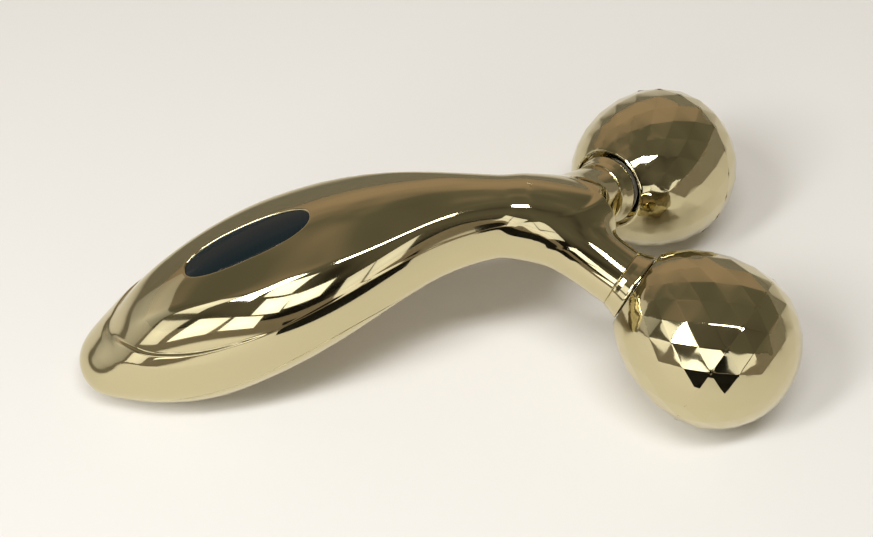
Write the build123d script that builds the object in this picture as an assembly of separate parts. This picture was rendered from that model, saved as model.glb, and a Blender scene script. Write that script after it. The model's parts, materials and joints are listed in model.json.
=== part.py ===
"""Twin-roller facial toning device: a solar-charged Y-shaped handle with two free-turning faceted rollers.

Lengths are in millimetres. +X runs from the handle's tail towards the rollers, +Z is up, and the device
stands on its tail and both rollers. The origin is the middle of its footprint.
"""
import os
from collections import namedtuple
from math import cos, hypot, pi, radians, sin, sqrt

from build123d import *

# ---------------------------------------------------------------- rollers
roller_diameter = 39.0        # across the widest facet corners
roller_nose = 18.65           # from the widest plane to the end of the roller
roller_back = 22.5            # from the widest plane to the open rim
roller_taper = 26.0           # half length of the ellipse that shapes the back of the roller
roller_spacing = 60.8         # between the centres of the two widest planes
roller_splay = 37.2           # degrees, each axle away from the middle plane, measured in their own plane
roller_dip = 25.0             # degrees, the plane of both axles below the horizontal
facets_round = 20             # facets in each row
facet_proportion = 0.90       # slant height of a row over the width of its facets
nose_flat_diameter = 7.0      # small plain disc at the end of the roller
roller_wall = 2.2
hollow_steps = 8              # points on each half of the hollow's outline

# ---------------------------------------------------------------- axles and running parts
axle_diameter = 6.0
axle_shoulder_diameter = 8.0
running_clearance = 0.05      # radial, between an axle and its bushes
bush_diameter = 9.0
bush_length = 6.0
bush_separation = 19.0        # between the near faces of the two bushes
bush_setback = 2.6            # from the roller's rim to its first bush
core_diameter = 12.5
core_web = 2.0                # thickness of each of the core's webs
web_setback = 1.0             # from the core's inner end to its first web
core_lip = 2.5                # of the core beyond its outer bush
core_relief = 0.6             # radial, between the bushes, where the core clears the axle
seat_clearance = 0.10         # between pieces that are dropped into each other
washer_thickness = 0.4
clip_thickness = 0.7
clip_groove_depth = 0.7
clip_diameter = 8.6
clip_mouth = 3.0
clip_play = 0.2               # along the axle
axle_tip = 1.2                # of the axle beyond its clip
contact_pin_diameter = 2.0
contact_bore_depth = 8.0
contact_pin_length = 5.0
spring_wire = 0.3
spring_pitch = 0.9
contact_gap = 0.12            # between the contact pin and the inside of the roller

# ---------------------------------------------------------------- arm ends
collar_length = 3.2
collar_web = 1.5              # thickness of the collar where the axle's shoulder seats
collar_diameter = 16.4
arm_diameter = 14.2           # at the collar
rim_gap = 1.0                 # open gap between a collar and the roller's rim
rim_clearance = 0.3           # seal to rim
arm_bore_diameter = 10.4
seal_diameter = 14.4
rim_opening_diameter = 16.8   # of the open back of a roller
rim_thickness = 2.0
spigot_length = 3.0
collar_flare = 0.9            # length of the collar's widest band with its broken edge
edge_break = 0.3
axle_block_reach = 7.0        # from the point where the axle lines cross to each axle's inner end

# ---------------------------------------------------------------- handle
handle_wall = 1.8
root_diameter = 16.4          # of each arm where it starts, inside the neck
root_behind, root_height = 62.0, 38.6
root_lead = 28.0              # level lead of an arm's centre line at its root
collar_lead = 16.0            # straight lead of an arm's centre line at the collar
lower_fullness = 2.28         # exponent of the lower half of a section, 2 is an ellipse
section_points = 20
arm_sections = 5
arm_bore_start = 2.0          # from the point where the axle lines cross
solid_below = 4.0             # a section narrower than this many walls is left solid
solid_tip = 2.0               # walls of solid material at the tail and at the crotch
cutter_reach = 40.0           # cutting solids run this far past the middle plane
cutter_floor = -10.0
shoulder_radius = 1.2

# Cross-sections of the handle, from tail to fork: distance behind the roller centres, half width, height
# of the underside, of the widest line and of the top face on its middle line, how far that face falls
# 10 mm beside the middle, and half its width between the two shoulder edges.
Station = namedtuple("Station", "behind half_width underside waist top fall shoulder")
stations = [
    Station(144.0, 6.7, 4.4, 7.8, 11.7, 1.2, 2.0),
    Station(138.0, 11.1, 1.3, 8.6, 17.3, 1.2, 3.0),
    Station(128.5, 15.2, 0.0, 11.4, 26.8, 1.4, 8.0),
    Station(115.5, 18.9, 1.6, 16.4, 35.4, 1.7, 12.0),
    Station(100.0, 21.3, 8.6, 23.7, 42.7, 1.9, 13.5),
    Station(82.0, 19.4, 19.4, 30.3, 48.2, 2.3, 13.0),
    Station(62.0, 12.7, 28.4, 36.3, 50.0, 3.0, 8.6),
    Station(42.0, 8.6, 29.8, 37.8, 48.1, 3.8, 5.0),
    Station(32.0, 8.4, 30.2, 37.5, 45.8, 4.4, 4.0),
]
tail_behind, tail_height = 146.0, 9.0
crotch_behind, crotch_height = 24.5, 38.0
deck_before = Station(152.0, 0, 0, 0, 9.0, 1.2, 0)      # the top face runs out past both ends
deck_after = Station(18.0, 0, 0, 0, 40.5, 5.0, 0)

# The parting line between body and belly cover, seen from the side: distance behind the rollers, height.
parting = [(152.0, 5.0), (139.0, 6.0), (125.0, 8.6), (107.0, 16.0), (95.0, 23.0), (81.0, 29.2), (68.0, 31.6),
           (58.0, 31.2), (51.0, 29.0), (46.0, 24.0)]

# ---------------------------------------------------------------- solar window and electronics
window_tail, window_front = 118.0, 88.6     # its two ends, behind the roller centres
window_width = 10.6
window_fullness = 2.3         # exponent of the window's outline
window_recess = 0.35
window_thickness = 1.25
window_ledge = 1.3
window_rim = 2.4              # width of the thickened wall around the window
tape_thickness = 0.35
cell_thickness = 1.1
cell_clearance = 0.3
frame_depth = 3.2             # of the thickened wall, below the window's two ends
board_length, board_width, board_thickness = 44.0, 14.0, 1.2
post_spacing = 38.0
board_drop = 5.0              # from the solar cell's underside to the board
post_diameter = 5.0
board_screw_diameter = 2.0
board_screw_length = 6.0
screw_head_diameter = 3.8
screw_head_height = 1.3
capacitor_diameter, capacitor_height = 6.8, 3.6
chip_length, chip_width, chip_height = 5.0, 4.0, 1.5
lead_spacing = 5.0
lead_diameter = 1.0
outline_points = 28
above_top = 6.0               # window cutters run this far past the window's plane
capacitor_place, chip_place, leads_place = -8.0, 6.0, 8.0       # along the board, from its middle

# ---------------------------------------------------------------- fork block
block_length, block_width, block_height = 26.0, 8.6, 7.0
block_front_behind = 35.0
socket_diameter = 9.0
socket_length = 9.0
block_screw_diameter = 2.5
block_screw_places = (57.0, 48.0)           # behind the roller centres
block_boss_diameter = 5.6
block_head_diameter = 4.6
block_screw_bite = 6.0        # of each screw in its boss
block_lift = 1.5              # the block's middle above the crossing of the axle lines
lead_exit = (15.0, 3.0)       # where the lead leaves the board, along and across it
lead_drop = 4.0               # of the lead straight down from the board
lead_run = 7.0                # of the lead straight into the block
lead_side = 2.5               # of the lead from the middle plane, at the block
lead_bends = [1.7, 2.5]

# ---------------------------------------------------------------- derived places
roller_radius = roller_diameter / 2
axis_slope = radians(roller_dip)
axis_splay = radians(roller_splay)
axle_direction = Vector(cos(axis_splay) * cos(axis_slope), -sin(axis_splay),
                        -cos(axis_splay) * sin(axis_slope))


def roller_profile(along):
    """Radius of the roller at a place along its axle, counted from the widest plane towards the nose."""
    half_length = roller_nose if along > 0 else roller_taper
    return roller_radius * sqrt(max(0.0, 1 - (along / half_length) ** 2))


def facet_rings():
    """Places of the rings of facet corners along the axle, so that every row has facets of one proportion."""
    nose_flat = roller_nose * sqrt(1 - (nose_flat_diameter / roller_diameter) ** 2)
    steps = 2000
    places = [-roller_back + (nose_flat + roller_back) * sin(pi / 2 * i / steps) for i in range(steps + 1)]
    turned = [0.0]
    for a, b in zip(places, places[1:]):
        ra, rb = roller_profile(a), roller_profile(b)
        turned.append(turned[-1] + hypot(b - a, rb - ra) / (0.5 * (ra + rb)))
    rows = round(turned[-1] / (facet_proportion * 2 * sin(pi / facets_round)))
    rings, i = [], 0
    for row in range(rows + 1):
        target = turned[-1] * row / rows
        while i < steps - 1 and turned[i + 1] < target:
            i += 1
        share = (target - turned[i]) / (turned[i + 1] - turned[i])
        rings.append(places[i] + share * (places[i + 1] - places[i]))
    return rings


rings = facet_rings()
seam_ring = min(range(len(rings)), key=lambda k: abs(rings[k]))


def ring_corners(k):
    """Corners of ring k in the roller's own frame, whose Z axis is the axle, every other ring staggered."""
    radius = roller_profile(rings[k])
    first = 0.5 * (k % 2)
    return [Vector(radius * cos(2 * pi * (j + first) / facets_round),
                   radius * sin(2 * pi * (j + first) / facets_round), rings[k]) for j in range(facets_round)]


axle_frame = Plane(origin=(0, 0, 0), x_dir=(axle_direction.Z, 0, -axle_direction.X), z_dir=axle_direction)
all_corners = [axle_frame.from_local_coords(c) for k in range(len(rings)) for c in ring_corners(k)]
rest_height = -min(c.Z for c in all_corners)
front_reach = max(c.X for c in all_corners)
roller_centre = Vector(0, -roller_spacing / 2, rest_height)
roller_plane = Plane(origin=roller_centre, x_dir=axle_frame.x_dir, z_dir=axle_direction)
to_origin = Location(((tail_behind - front_reach) / 2, 0, 0))

collar_front = -roller_back - rim_gap
collar_back = collar_front - collar_length
axle_crossing = -roller_spacing / 2 / sin(axis_splay)     # place on the axle where it meets its twin
axle_inner_end = axle_crossing + axle_block_reach
bush_back = -roller_back + bush_setback
bush_front = bush_back + 2 * bush_length + bush_separation
clip_back = bush_front + clip_play
axle_outer_end = clip_back + clip_thickness + axle_tip


def on_axle(along):
    """A point on the right axle's line, in the device's frame."""
    return roller_plane.from_local_coords(Vector(0, 0, along))


# ---------------------------------------------------------------- handle solids
def crest(station):
    """Top of the round section that passes through the shoulder edge of the top face."""
    shoulder_height = station.top - station.fall * (station.shoulder / 10) ** 2
    share = sqrt(1 - (station.shoulder / station.half_width) ** 2)
    return station.waist + (shoulder_height - station.waist) / share


def tube_section(station, inset):
    """Closed curve round the handle at one station: half an ellipse above, a fuller half below."""
    points = []
    for k in range(section_points):
        c, s = cos(2 * pi * k / section_points), sin(2 * pi * k / section_points)
        power = 1.0 if s >= 0 else 2 / lower_fullness
        side = (1 if c >= 0 else -1) * abs(c) ** power * (station.half_width - inset)
        rise = crest(station) - inset - station.waist if s >= 0 else station.waist - station.underside - inset
        height = station.waist + (1 if s >= 0 else -1) * abs(s) ** power * rise
        points.append((-station.behind, side, height))
    return Wire([Edge.make_spline(points, periodic=True)])


def handle_tube(inset=0.0):
    """The handle as if its top were round, shrunk by the inset all round."""
    sections = [tube_section(s, inset) for s in stations if s.half_width > solid_below * inset]
    tail = Vertex(-tail_behind + solid_tip * inset, 0, tail_height)
    crotch = Vertex(-crotch_behind - solid_tip * inset, 0, crotch_height)
    return Solid.make_loft([tail] + sections + [crotch])


def above_deck(drop=0.0):
    """Everything above the crowned top face, lowered by the drop. Each section's crown is a parabola."""
    ceiling = 2 * cutter_reach
    sections = []
    for d in [deck_before] + stations + [deck_after]:
        x, top = -d.behind, d.top - drop
        hang = d.fall * (cutter_reach / 10) ** 2
        left, right = (x, cutter_reach, top - hang), (x, -cutter_reach, top - hang)
        sections.append(Wire([
            Edge.make_bezier(left, (x, 0, top + hang), right),
            Edge.make_line(right, (x, -cutter_reach, ceiling)),
            Edge.make_line((x, -cutter_reach, ceiling), (x, cutter_reach, ceiling)),
            Edge.make_line((x, cutter_reach, ceiling), left)]))
    return Solid.make_loft(sections)


def arm_centre_line():
    """Centre line of the right arm, from inside the neck to the back of its collar."""
    start = Vector(-root_behind, 0, root_height)
    end = on_axle(collar_back)
    return Edge.make_bezier(start, start + Vector(root_lead, 0, 0), end - axle_direction * collar_lead, end)


def arm_solid(inset=0.0):
    """The right arm: round sections that taper from the neck to the collar."""
    line = arm_centre_line()
    sections = []
    for k in range(arm_sections):
        share = k / (arm_sections - 1)
        ease = share * share * (3 - 2 * share)
        radius = 0.5 * (root_diameter + (arm_diameter - root_diameter) * ease) - inset
        plane = Plane(origin=line.position_at(share), z_dir=line.tangent_at(share), x_dir=(0, 0, 1))
        sections.append(Wire([Edge.make_circle(radius, plane)]))
    return Solid.make_loft(sections)


def placed(solid):
    """A piece modelled with the axle on Z, moved onto the right axle."""
    return solid.moved(roller_plane.location)


def turned(profile):
    """A piece turned round the axle from a closed outline of (radius, place along the axle) points."""
    outline = Wire.make_polygon([(radius, 0, along) for radius, along in profile], close=True)
    return Solid.revolve(Face(outline), 360, Axis.Z)


def ring_piece(inner, outer, start, end):
    """A plain turned ring or tube."""
    return turned([(inner, start), (outer, start), (outer, end), (inner, end)])


def slab(length, width, low, high, middle=(0, 0)):
    """A box in the window's frame, between two depths along its normal."""
    corner = Plane((middle[0] - length / 2, middle[1] - width / 2, low))
    return Solid.make_box(length, width, high - low, corner).moved(window_plane.location)


def rod(diameter, low, high, middle):
    """A round rod along the window's normal."""
    cylinder = Solid.make_cylinder(diameter / 2, high - low, Plane((middle[0], middle[1], low)))
    return cylinder.moved(window_plane.location)


# ---------------------------------------------------------------- window frame of reference
deck_line = Edge.make_spline([(-s.behind, 0, s.top) for s in stations])


def top_height(behind):
    """Height of the top face on the middle line."""
    low, high = 0.0, 1.0
    for _ in range(40):
        middle = (low + high) / 2
        if deck_line.position_at(middle).X < -behind:
            low = middle
        else:
            high = middle
    return deck_line.position_at(low).Z


window_ends = [Vector(-b, 0, top_height(b)) for b in (window_tail, window_front)]
window_run = window_ends[1] - window_ends[0]
window_length = window_run.length
window_plane = Plane(origin=(window_ends[0] + window_ends[1]) * 0.5, x_dir=window_run,
                     z_dir=Vector(-window_run.Z, 0, window_run.X))
cell_top = -frame_depth
board_top = cell_top - cell_thickness - board_drop
board_bottom = board_top - board_thickness


def oval(grow, low, high):
    """Prism of the window's outline, grown all round, between two depths along its normal."""
    points = []
    for k in range(outline_points):
        c, s = cos(2 * pi * k / outline_points), sin(2 * pi * k / outline_points)
        along = (1 if c >= 0 else -1) * abs(c) ** (2 / window_fullness)
        across = (1 if s >= 0 else -1) * abs(s) ** (2 / window_fullness)
        points.append((along * (window_length / 2 + grow), across * (window_width / 2 + grow), low))
    outline = Face(Wire([Edge.make_spline(points, periodic=True)]))
    return Solid.extrude(outline, Vector(0, 0, high - low)).moved(window_plane.location)


# ---------------------------------------------------------------- handle
grip = handle_tube() - above_deck()
shoulders = [e for e in grip.edges() if e.length > window_length]
grip = grip.fillet(shoulder_radius, shoulders)
arm = arm_solid()
outside = grip + arm + arm.mirror(Plane.XZ)

arm_bore = placed(ring_piece(0, arm_bore_diameter / 2, axle_crossing + arm_bore_start, collar_back))
inside = handle_tube(handle_wall) - above_deck(handle_wall)
shell = outside - inside - arm_bore - arm_bore.mirror(Plane.XZ)

window_depth = window_recess + window_thickness + tape_thickness
posts = [(side * post_spacing / 2, 0) for side in (-1, 1)]
frame_and_posts = oval(window_rim, cell_top, above_top)
for place in posts:
    frame_and_posts = frame_and_posts + rod(post_diameter, board_top, above_top, place)
shell = shell + (frame_and_posts & grip)
shell = shell - (oval(seat_clearance, cell_top, above_top) & above_deck(window_depth))
shell = shell - oval(-window_ledge, cell_top - handle_wall, above_top)
for place in posts:
    shell = shell - rod(board_screw_diameter, board_bottom, board_bottom + board_screw_length, place)

block_back = -block_front_behind - block_length
block_middle = on_axle(axle_crossing).Z + block_lift
block_foot, block_top = block_middle - block_height / 2, block_middle + block_height / 2
for behind in block_screw_places:
    boss_foot = Plane((-behind, 0, block_top))
    shell = shell + (Solid.make_cylinder(block_boss_diameter / 2, cutter_reach, boss_foot) & grip)
    shell = shell - Solid.make_cylinder(block_screw_diameter / 2, block_screw_bite, boss_foot)

curve = Edge.make_spline([(-behind, -cutter_reach, height) for behind, height in parting])
first, last = curve.position_at(0), curve.position_at(1)
last_foot, first_foot = (last.X, last.Y, cutter_floor), (first.X, first.Y, cutter_floor)
outline = Wire([curve, Edge.make_line(last, last_foot), Edge.make_line(last_foot, first_foot),
                Edge.make_line(first_foot, first)])
below_parting = Solid.extrude(Face(outline), Vector(0, 2 * cutter_reach, 0))
belly_cover = shell & below_parting
body_shell = shell - below_parting

# ---------------------------------------------------------------- window and electronics
pieces = {"body_shell": body_shell, "belly_cover": belly_cover}
full_oval = oval(0, -above_top, above_top)
tape_oval = full_oval - oval(-window_ledge, -above_top, above_top)
above_window_back = above_deck(window_recess + window_thickness)
pieces["solar_window"] = (full_oval & above_window_back) - above_deck(window_recess)
pieces["window_tape"] = (tape_oval & above_deck(window_depth)) - above_window_back
pieces["solar_cell"] = oval(-cell_clearance, cell_top - cell_thickness, cell_top)
board = slab(board_length, board_width, board_bottom, board_top)
for place in posts:
    board = board - rod(board_screw_diameter + 2 * seat_clearance, board_bottom - 1, board_top + 1, place)
pieces["circuit_board"] = board
pieces["board_screws"] = Compound([
    rod(board_screw_diameter, board_bottom, board_bottom + board_screw_length, place)
    + rod(screw_head_diameter, board_bottom - screw_head_height, board_bottom, place) for place in posts])
pieces["storage_capacitor"] = rod(capacitor_diameter, board_top, board_top + capacitor_height,
                                  (capacitor_place, 0))
pieces["driver_chip"] = slab(chip_length, chip_width, board_bottom - chip_height, board_bottom,
                             (chip_place, 0))
pieces["solar_leads"] = Compound([
    rod(lead_diameter, board_top, cell_top - cell_thickness, (leads_place, side * lead_spacing / 2))
    for side in (-1, 1)])

# ---------------------------------------------------------------- fork block
socket = placed(ring_piece(0, socket_diameter / 2, axle_crossing, axle_inner_end + socket_length))
block = Solid.make_box(block_length, block_width, block_height,
                       Plane((block_back, -block_width / 2, block_foot)))
block = block + socket + socket.mirror(Plane.XZ)
axle_hole = placed(ring_piece(0, axle_diameter / 2, axle_inner_end, 0))
block = block - axle_hole - axle_hole.mirror(Plane.XZ)
screws = []
for behind in block_screw_places:
    shank = Solid.make_cylinder(block_screw_diameter / 2, block_height + block_screw_bite,
                                Plane((-behind, 0, block_foot)))
    block = block - shank
    head = Solid.make_cylinder(block_head_diameter / 2, screw_head_height,
                               Plane((-behind, 0, block_foot - screw_head_height)))
    screws.append(shank + head)
pieces["fork_block"] = block
pieces["block_screws"] = Compound(screws)
lead_start = window_plane.from_local_coords(Vector(*lead_exit, board_bottom))
lead_turn = window_plane.from_local_coords(Vector(*lead_exit, board_bottom - lead_drop))
lead_end = Vector(block_back, lead_side, block_middle)
route = FilletPolyline(lead_start, lead_turn, lead_end - Vector(lead_run, 0, 0), lead_end, radius=lead_bends)
lead_profile = Plane(origin=lead_start, z_dir=lead_turn - lead_start) * Circle(lead_diameter / 2)
pieces["fork_lead"] = sweep(lead_profile, path=route).solid()

# ---------------------------------------------------------------- arm ends, axles and rollers
axle_radius = axle_diameter / 2
shoulder_back = collar_back + collar_web
shoulder_end = bush_back - washer_thickness - running_clearance
groove_front = clip_back + clip_thickness
right = {}
right["arm_collar"] = turned([
    (axle_radius, collar_back - spigot_length), (arm_bore_diameter / 2, collar_back - spigot_length),
    (arm_bore_diameter / 2, collar_back), (arm_diameter / 2, collar_back),
    (collar_diameter / 2, collar_front - collar_flare), (collar_diameter / 2, collar_front - edge_break),
    (collar_diameter / 2 - edge_break, collar_front), (axle_shoulder_diameter / 2, collar_front),
    (axle_shoulder_diameter / 2, shoulder_back), (axle_radius, shoulder_back)])
axle = turned([
    (0, axle_inner_end), (axle_radius, axle_inner_end), (axle_radius, shoulder_back),
    (axle_shoulder_diameter / 2, shoulder_back), (axle_shoulder_diameter / 2, shoulder_end),
    (axle_radius, shoulder_end), (axle_radius, clip_back),
    (axle_radius - clip_groove_depth, clip_back), (axle_radius - clip_groove_depth, groove_front),
    (axle_radius, groove_front), (axle_radius, axle_outer_end), (0, axle_outer_end)])
contact_bore_end = axle_outer_end - contact_bore_depth
right["axle"] = axle - ring_piece(0, contact_pin_diameter / 2, contact_bore_end, axle_outer_end)
right["axle_seal"] = ring_piece(axle_shoulder_diameter / 2, seal_diameter / 2, collar_front,
                                -roller_back - rim_clearance)
right["thrust_washer"] = ring_piece(axle_radius, bush_diameter / 2, shoulder_end,
                                    shoulder_end + washer_thickness)
clip = ring_piece(axle_radius - clip_groove_depth, clip_diameter / 2, clip_back, groove_front)
right["retaining_clip"] = clip - Solid.make_box(clip_diameter, clip_mouth, clip_thickness,
                                                Plane((0, -clip_mouth / 2, clip_back)))
pin_end = roller_nose - roller_wall - contact_gap
pin = ring_piece(0, contact_pin_diameter / 2, pin_end - contact_pin_length, pin_end)
right["contact_pin"] = pin.fillet(contact_pin_diameter / 4, [pin.edges().sort_by(Axis.Z)[-1]])
spring_low = contact_bore_end + spring_wire / 2
spring_high = pin_end - contact_pin_length - spring_wire / 2
spring_radius = (contact_pin_diameter - spring_wire) / 2 - running_clearance
coil = Edge.make_helix(pitch=spring_pitch, height=spring_high - spring_low, radius=spring_radius)
coil = coil.moved(Location((0, 0, spring_low)))
wire_profile = Plane(origin=coil.position_at(0), z_dir=coil.tangent_at(0)) * Circle(spring_wire / 2)
right["contact_spring"] = sweep(wire_profile, path=coil).solid()

# The hollow of a roller follows its outside one wall further in.
hollow_back = -roller_back + rim_thickness
hollow_nose = roller_nose - roller_wall
hollow_points = []
for k in range(hollow_steps + 1):
    along = hollow_back * (1 - k / hollow_steps)
    hollow_points.append((roller_profile(along) - roller_wall, 0, along))
for k in range(1, hollow_steps + 1):
    angle = pi / 2 * k / hollow_steps
    hollow_points.append(((roller_radius - roller_wall) * cos(angle), 0, hollow_nose * sin(angle)))
hollow_points[-1] = (0, 0, hollow_nose)
hollow_curve = Edge.make_spline(hollow_points)
hollow_outline = Wire([hollow_curve, Edge.make_line((0, 0, hollow_nose), (0, 0, hollow_back)),
                       Edge.make_line((0, 0, hollow_back), hollow_points[0])])
hollow = Solid.revolve(Face(hollow_outline), 360, Axis.Z)
opening = ring_piece(0, rim_opening_diameter / 2, -roller_back - rim_gap, hollow_back + rim_gap)


def faceted(first_ring, last_ring):
    """Solid with flat triangular facets between two rings of corners, closed by a flat face at each end."""
    faces = []
    for k in range(first_ring, last_ring):
        low, high = ring_corners(k), ring_corners(k + 1)
        for j in range(facets_round):
            n = (j + 1) % facets_round
            if k % 2 == 0:
                triangles = [(low[j], low[n], high[j]), (low[n], high[n], high[j])]
            else:
                triangles = [(low[j], high[n], high[j]), (low[j], low[n], high[n])]
            faces += [Face(Wire.make_polygon(t, close=True)) for t in triangles]
    faces.append(Face(Wire.make_polygon(ring_corners(first_ring), close=True)))
    faces.append(Face(Wire.make_polygon(ring_corners(last_ring), close=True)))
    return Solid(Shell(faces))


relief_radius = axle_radius + core_relief
core = turned([
    (bush_diameter / 2, bush_back), (core_diameter / 2, bush_back),
    (core_diameter / 2, bush_front + core_lip), (bush_diameter / 2, bush_front + core_lip), (bush_diameter / 2, bush_front - bush_length),
    (relief_radius, bush_front - bush_length), (relief_radius, bush_back + bush_length),
    (bush_diameter / 2, bush_back + bush_length)])
for start in (bush_back + web_setback, rings[seam_ring] - core_web / 2, bush_front):
    core = core + ring_piece(core_diameter / 2 - core_relief, roller_radius, start, start + core_web)
roller = {}
roller["roller_core"] = core & hollow
roller["roller_back_shell"] = faceted(0, seam_ring) - hollow - opening
roller["roller_front_shell"] = faceted(seam_ring, len(rings) - 1) - hollow
bush_inner = axle_radius + running_clearance
roller["inner_bush"] = ring_piece(bush_inner, bush_diameter / 2, bush_back, bush_back + bush_length)
roller["outer_bush"] = ring_piece(bush_inner, bush_diameter / 2, bush_front - bush_length, bush_front)

for name, solid in {**right, **roller}.items():
    here = placed(solid)
    pieces["right_" + name] = here
    pieces["left_" + name] = here.mirror(Plane.XZ)

os.makedirs("parts", exist_ok=True)
for name, solid in pieces.items():
    export_step(solid.moved(to_origin), f"parts/{name}.step")
print("axle point", roller_centre + to_origin.position, "direction", axle_direction)
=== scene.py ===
import json

import bmesh
import bpy
import numpy as np
from mathutils import Matrix, Vector


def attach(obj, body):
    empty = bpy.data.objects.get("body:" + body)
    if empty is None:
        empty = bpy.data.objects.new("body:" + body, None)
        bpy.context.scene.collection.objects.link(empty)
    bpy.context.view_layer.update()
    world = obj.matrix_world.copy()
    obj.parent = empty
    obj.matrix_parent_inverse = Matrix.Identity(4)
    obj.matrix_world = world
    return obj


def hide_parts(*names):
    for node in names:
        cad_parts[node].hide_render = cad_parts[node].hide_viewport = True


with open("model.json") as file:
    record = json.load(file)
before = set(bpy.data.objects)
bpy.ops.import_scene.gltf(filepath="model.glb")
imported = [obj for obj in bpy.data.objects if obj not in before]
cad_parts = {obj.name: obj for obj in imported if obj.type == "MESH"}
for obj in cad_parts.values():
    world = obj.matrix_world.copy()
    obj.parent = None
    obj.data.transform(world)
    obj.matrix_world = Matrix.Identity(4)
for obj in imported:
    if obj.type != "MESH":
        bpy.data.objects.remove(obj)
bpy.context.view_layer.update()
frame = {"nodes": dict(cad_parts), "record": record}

bl_info = {
    "name": "Twin-roller toning device",
    "version": (1, 0, 0),
    "blender": (4, 5, 0),
    "location": "3D View > Sidebar > Toning device",
    "description": "Builds the surfaces and finishes of a twin-roller facial toning device round its solid parts",
    "category": "Add Mesh",
}

# All lengths below are in millimetres. +X runs from the tail towards the rollers and +Z is up.
MM = 0.001

# ---- handle, station by station
# Place along X, half width, heights of the underside, of the widest line and of the top face on its middle
# line, how far that face would fall 10 mm beside the middle as a parabola, and half its width between the
# shoulder edges.
STATIONS = np.array([
    (-80.5, 6.7, 4.4, 7.6, 11.7, 1.2, 2.0),
    (-74.5, 11.1, 1.3, 8.7, 17.6, 1.2, 3.0),
    (-65.0, 15.2, 0.1, 11.4, 26.8, 1.4, 8.0),
    (-52.0, 18.9, 1.6, 16.4, 35.4, 1.7, 12.0),
    (-36.5, 21.3, 8.6, 23.7, 42.7, 1.9, 13.5),
    (-18.5, 19.4, 19.4, 30.3, 48.2, 2.3, 13.0),
    (1.5, 12.7, 28.4, 36.3, 49.97, 3.0, 8.6),
    (21.5, 8.5, 29.8, 37.8, 48.1, 3.8, 5.0),
    (31.5, 8.0, 30.2, 37.5, 45.9, 4.4, 4.0),
])
TAIL = (-82.47, 7.6)  # X and height of the tail's end
CROTCH = (49.0, 37.0)  # X and height where the neck would close if no arms left it
TOP_ENDS = ((-88.5, 9.0), (45.5, 40.5))  # X and height of two guide points of the top line past the handle
LOWER_FULLNESS = 2.28  # exponent of the lower half of a section, 2 is an ellipse
CROWN_BEND = 2.0  # how sharply the top face bends along its middle line, near 0 a parabola
FORK_X = 24.0  # the neck's grid ends here and the arms' grids begin
THREAD = 0.05  # least half width of a section, at the very ends
# X and height along the parting line, and along the lip of the cup that holds the tail
PARTING = np.array([(-88.5, 5.0), (-75.5, 6.0), (-61.5, 8.6), (-43.5, 16.0), (-31.5, 23.0), (-17.5, 29.2),
                    (-4.5, 31.6), (5.5, 31.2), (12.5, 29.0), (17.5, 24.0)])
LIP = np.array([(-82.5, 16.4), (-78.0, 16.5), (-75.2, 17.0), (-73.8, 17.9), (-72.7, 18.8), (-71.6, 19.4),
                (-70.0, 20.0), (-66.0, 20.7), (-61.4, 21.7), (-52.8, 24.2), (-45.0, 27.5), (-37.5, 30.7),
                (-18.5, 38.5), (1.5, 43.0), (30.0, 42.5)])
LIP_DROP = 2.5  # from the lip down to the crease where its slope ends
LIP_INWARD = 0.65  # share of the lip that the sides above are taken in, the rest is swelling
SLOPE_SHARE = 0.4  # share of the lip that the slope under it takes back

# The wedge that parts the arms
WEDGE_EDGE = 41.25  # X of the upright edge where its walls would meet
WEDGE_FILLET = 0.7  # radius of the fillet that they meet in
WEDGE_TURN = np.radians(55.0)  # from the X axis to each wall
WEDGE_FLARE = (6.0, 0.02)  # from here sideways the walls bend forwards, by this times the square

# Widths of the blends between the handle's forms
LIP_ROUND, CREASE_ROUND, WEDGE_ROUND = 0.5, 0.3, 0.6

# Start and length, along an axis, of the stretches over which a form eases in or out
LIP_FADE = (-60.0, 27.0)  # the lip sinks into the sides, along X
SWELL_ALONG = (-82.0, 8.0)  # the cup swells from the tail's end, along X
SWELL_UP = (3.0, 7.0)  # and from its underside, along Z
SLOPE_ALONG = (-79.0, 6.0)  # the slope under the lip begins, along X
SHOULDER_SOFTENING = (-5.0, 30.0)  # the shoulder's round grows towards the neck, along X
SHOULDER_GROWTH = (0.25, 1.25)  # from this share of its size, by this share
FORK_WIDENING = (14.0, 12.0)  # the arms' blend into the neck opens, along X

# ---- rollers and arms
ROLLER_CENTRE = np.array([63.5255, -30.4, 19.2626])
AXLE = np.array([0.721901, -0.604599, -0.336628])
ROLLER_RADIUS = 19.5  # over the facets' corners
ROLLER_NOSE, ROLLER_TAPER = 18.65, 26.0  # half lengths of the ellipses before and behind the widest place
ROLLER_BACK = 22.5  # from the widest place back to the rim
FACETS_ROUND, FACET_ROWS = 20, 14  # facets round a ring, and rows from the rim to the nose
FACET_PARTS = 4  # small parts that a facet's side is cut in
SEAM_ROW = 6  # the ring where the back shell meets the front shell
NOSE_FLAT_RADIUS = 3.5
RIM_RADIUS = 9.15  # of the opening round the collar
COLLAR_BACK, COLLAR_FRONT = -26.7, -22.8  # along the axle from the roller's middle
ARM_ROOT = np.array([1.5, 0.0, 38.6])  # where the arms' centre lines start, inside the neck
ARM_RADII = (8.2, 7.1)  # at the root and at the collar
ARM_LEADS = (28.0, 16.0)  # how far each end's direction carries the centre line
ARM_START = 0.45  # share of the centre line where the arm's own skin begins
ARM_STOP_RADIUS = 5.4  # of the ring that turns in behind the collar

# ---- window
WINDOW_ENDS = (-54.47, -25.07)  # along X
WINDOW_WIDTH = 10.6
WINDOW_FULLNESS = 2.3  # exponent of the oval, 2 is an ellipse
WINDOW_WALL = 1.8  # depth of the opening's wall
WINDOW_THICKNESS = 1.2

# ---- rows and columns of the handle's grids
TAIL_ROWS, MIDDLE_ROWS, NECK_ROWS, ARM_ROWS = 8, 211, 14, 76
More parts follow.
